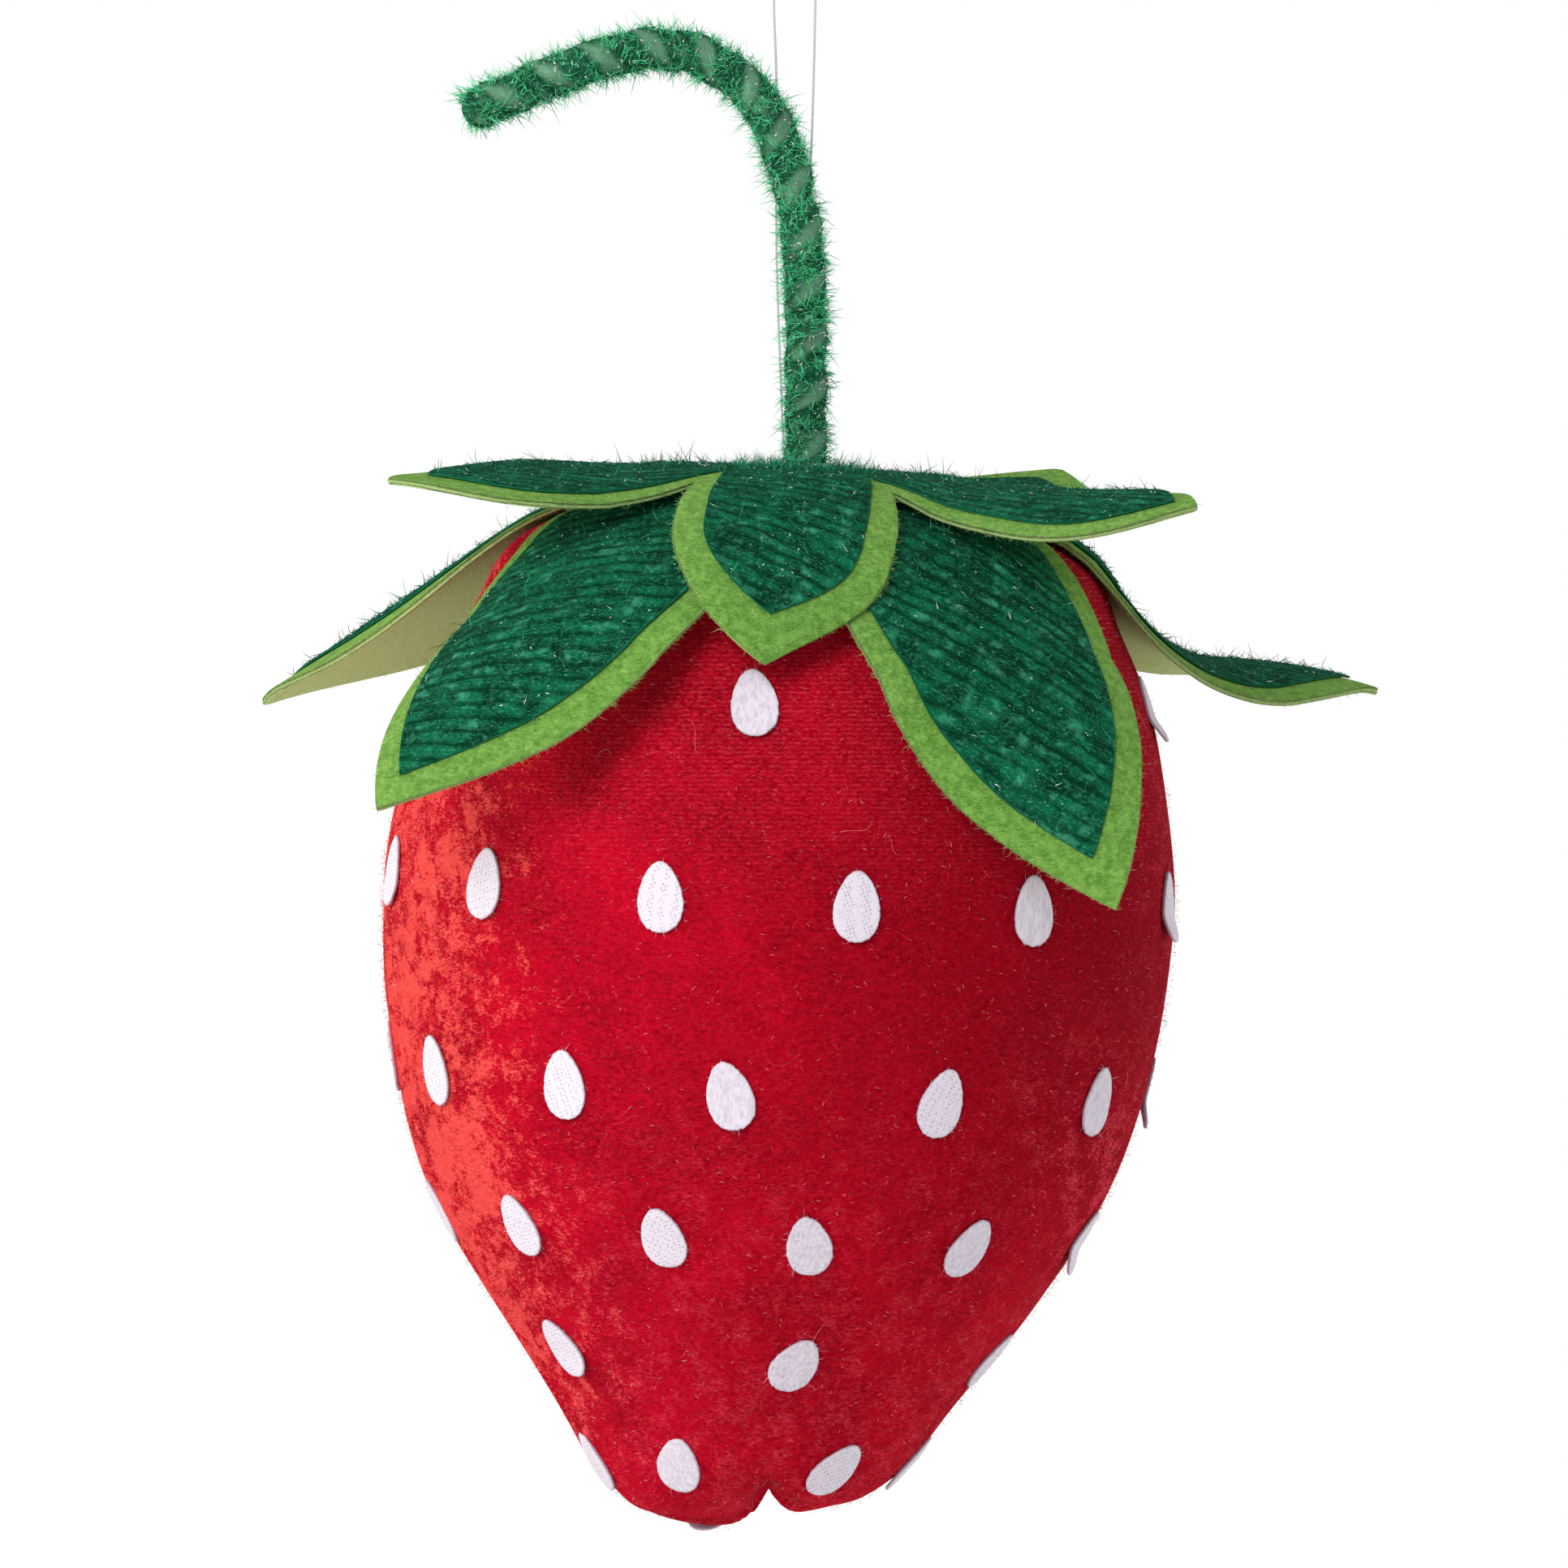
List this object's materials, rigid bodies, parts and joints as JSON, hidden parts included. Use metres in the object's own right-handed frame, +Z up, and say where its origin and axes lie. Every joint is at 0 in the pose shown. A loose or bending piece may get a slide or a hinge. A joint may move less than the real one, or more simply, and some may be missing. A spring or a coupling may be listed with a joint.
{
  "type": "hanging strawberry ornament",
  "caption": "Large hanging strawberry ornament in red velvet over foam, with white fabric seeds, a two-tier felt and tinsel plush calyx, a hooked plush stem and a clear thread loop.",
  "frame": {"origin": "the inside of the thread loop's top, where the ornament hangs", "axes": "+X to the right seen from the front, +Y away from the viewer, +Z up"},
  "size_m": [0.1894, 0.1751, 0.262],
  "materials": {
    "clear_nylon_thread": "clear polished monofilament, 0.4 mm",
    "galvanised_wire": "soft drawn steel wire",
    "tinsel_plush_stem": "short tinsel pile on knit, wound on the wire",
    "hot_melt_glue": "set hot-melt adhesive",
    "foam": "moulded expanded foam",
    "red_velvet_front": "stretch velvet, short pile",
    "red_velvet_back": "stretch velvet, short pile, nap the other way",
    "green_felt": "pressed felt with a raw cut edge",
    "tinsel_plush": "ribbed plush knit with tinsel, laminated on felt",
    "white_fabric_patch": "short white pile fabric, die cut"
  },
  "bodies": {
    "hanger": {"hanging_loop": "clear_nylon_thread"},
    "knot": {"hanger_knot": "clear_nylon_thread"},
    "berry": {"foam_core": "foam", "velvet_front": "red_velvet_front", "velvet_back": "red_velvet_back", "glue_seat": "hot_melt_glue", "wire_root": "galvanised_wire", "lower_calyx_felt": "green_felt", "lower_calyx_plush": "tinsel_plush", "upper_calyx_felt": "green_felt", "upper_calyx_plush": "tinsel_plush", "seed_row_1": "white_fabric_patch", "seed_row_2": "white_fabric_patch", "seed_row_3": "white_fabric_patch", "seed_row_4": "white_fabric_patch", "seed_row_5": "white_fabric_patch", "seed_row_6": "white_fabric_patch", "tip_seeds": "white_fabric_patch"},
    "stem": {"stem_wire": "galvanised_wire", "stem_sleeve": "tinsel_plush_stem"}
  },
  "joints": [
    {"name": "berry_sway", "type": "hinge", "parent": "hanger", "child": "knot", "pos_m": [-0.0007, 0, -0.0838], "axis": [0, 1, 0], "range_deg": [-20, 20]},
    {"name": "berry_swing", "type": "hinge", "parent": "knot", "child": "berry", "pos_m": [-0.0007, 0, -0.0838], "axis": [1, 0, 0], "range_deg": [0, 30]},
    {"name": "stem_bend", "type": "hinge", "parent": "berry", "child": "stem", "pos_m": [0.00189, -0.0052, -0.08408], "axis": [0, 1, 0], "range_deg": [-15, 15]}
  ]
}
